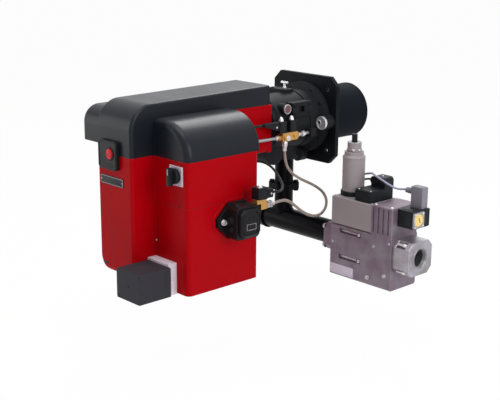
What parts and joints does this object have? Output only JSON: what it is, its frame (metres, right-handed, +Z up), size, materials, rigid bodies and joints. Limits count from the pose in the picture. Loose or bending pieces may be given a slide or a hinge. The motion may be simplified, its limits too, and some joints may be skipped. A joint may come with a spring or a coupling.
{
  "type": "dual fuel burner",
  "caption": "Forced-draught burner for gas and light oil: red fan housing under black hoods, flanged blast tube, oil pump, damper drive and a side gas valve train.",
  "frame": {"origin": "centre of the mounting flange's boiler side", "axes": "+X along the blast tube, the way the flame points; +Y to the burner's left side; +Z up"},
  "size_m": [0.828, 0.6223, 0.4655],
  "materials": {
    "flange_black": "satin",
    "tube_black": "satin",
    "head_dark": "satin",
    "plate_steel": "satin",
    "bright_steel": "polished",
    "ceramic_white": "gloss",
    "brass": "satin",
    "sight_red": "gloss",
    "coil_black": "matte",
    "housing_red": "satin",
    "hood_black": "satin",
    "latch_black": "matte",
    "lock_red": "gloss",
    "motor_grey": "satin",
    "base_grey": "matte",
    "selector_light": "satin",
    "servo_light": "satin",
    "servo_charcoal": "matte",
    "pump_black": "satin",
    "pipe_black": "satin",
    "valve_grey": "satin",
    "inlet_silver": "satin",
    "cover_grey": "satin",
    "ring_black": "matte",
    "plug_black": "satin",
    "plug_grey": "satin",
    "switch_grey": "satin",
    "window_clear": "gloss",
    "dial_yellow": "satin",
    "hose_beige": "matte",
    "cable_grey": "satin",
    "cable_black": "satin"
  },
  "bodies": {
    "burner": {"mounting_flange": "flange_black", "blast_tube": "tube_black", "nozzle_lance": "bright_steel", "diffuser_plate": "plate_steel", "gas_head": "plate_steel", "ignition_electrodes": "ceramic_white", "head_casting": "head_dark", "head_screws": "bright_steel", "sight_glass": "sight_red", "oil_valve_block": "brass", "oil_coils": "coil_black", "coil_nuts": "bright_steel", "coil_plug": "plug_black", "oil_pipe": "plate_steel", "main_housing_right": "housing_red", "main_housing_left": "housing_red", "fan_motor": "motor_grey", "control_unit": "base_grey", "intake_box_lower": "housing_red", "intake_box_upper": "housing_red", "servo_plate": "servo_light", "servo_cover": "servo_charcoal", "oil_pump": "pump_black", "pump_cover": "pump_black", "pump_bolts": "bright_steel", "pump_solenoid": "coil_black", "pump_fitting": "brass", "selector_plate": "selector_light", "gas_riser": "pipe_black", "riser_bolts": "pipe_black", "gas_manifold": "pipe_black", "manifold_cap": "pipe_black", "outlet_flange": "valve_grey", "valve_body": "valve_grey", "valve_cover": "cover_grey", "inlet_flange": "inlet_silver", "valve_screws": "bright_steel", "tower_base": "ring_black", "tower_can": "cover_grey", "valve_plug": "plug_black", "rear_plug": "plug_black", "pressure_switch": "switch_grey", "switch_window": "window_clear", "grey_plug": "plug_grey", "oil_hose": "hose_beige", "grey_cable": "cable_grey", "black_cable": "cable_black", "solenoid_cable": "cable_black"},
    "hood": {"main_hood": "hood_black", "hood_latch": "latch_black"},
    "lock": {"lock_knob": "lock_red"},
    "control_cover": {"control_hood": "hood_black"},
    "selector": {"selector_knob": "latch_black"},
    "damper": {"damper_flap": "plate_steel"},
    "fan": {"fan_wheel": "plate_steel", "motor_shaft": "bright_steel", "pump_coupling": "plug_black"},
    "dial": {"switch_dial": "dial_yellow"},
    "regulator": {"tower_knob": "bright_steel"},
    "thumb": {"thumb_screw": "bright_steel"}
  },
  "joints": [
    {"name": "hood_lift", "type": "slide", "parent": "burner", "child": "hood", "axis": [0, 0, 1], "range_m": [0, 0.15]},
    {"name": "lock_turn", "type": "hinge", "parent": "hood", "child": "lock", "pos_m": [-0.625, 0.008, -0.015], "axis": [1, 0, 0], "range_deg": [0, 90]},
    {"name": "control_lift", "type": "slide", "parent": "burner", "child": "control_cover", "axis": [0, 0, 1], "range_m": [0, 0.12]},
    {"name": "selector_turn", "type": "hinge", "parent": "burner", "child": "selector", "pos_m": [-0.561, -0.141, -0.05], "axis": [1, 0, 0], "range_deg": [-60, 60]},
    {"name": "damper_turn", "type": "hinge", "parent": "burner", "child": "damper", "pos_m": [-0.45, -0.119, -0.268], "axis": [1, 0, 0], "range_deg": [0, 90]},
    {"name": "fan_spin", "type": "hinge", "parent": "burner", "child": "fan", "pos_m": [-0.421, 0, -0.165], "axis": [0, 1, 0], "continuous": true},
    {"name": "dial_turn", "type": "hinge", "parent": "burner", "child": "dial", "pos_m": [-0.094, -0.45, -0.1735], "axis": [0, 1, 0], "range_deg": [0, 270]},
    {"name": "regulator_turn", "type": "hinge", "parent": "burner", "child": "regulator", "pos_m": [-0.085, -0.242, -0.02], "axis": [0, 0, 1], "range_deg": [0, 270]},
    {"name": "thumb_turn", "type": "hinge", "parent": "burner", "child": "thumb", "pos_m": [-0.086, 0, 0.085], "axis": [0, 0, 1], "range_deg": [0, 180]}
  ]
}
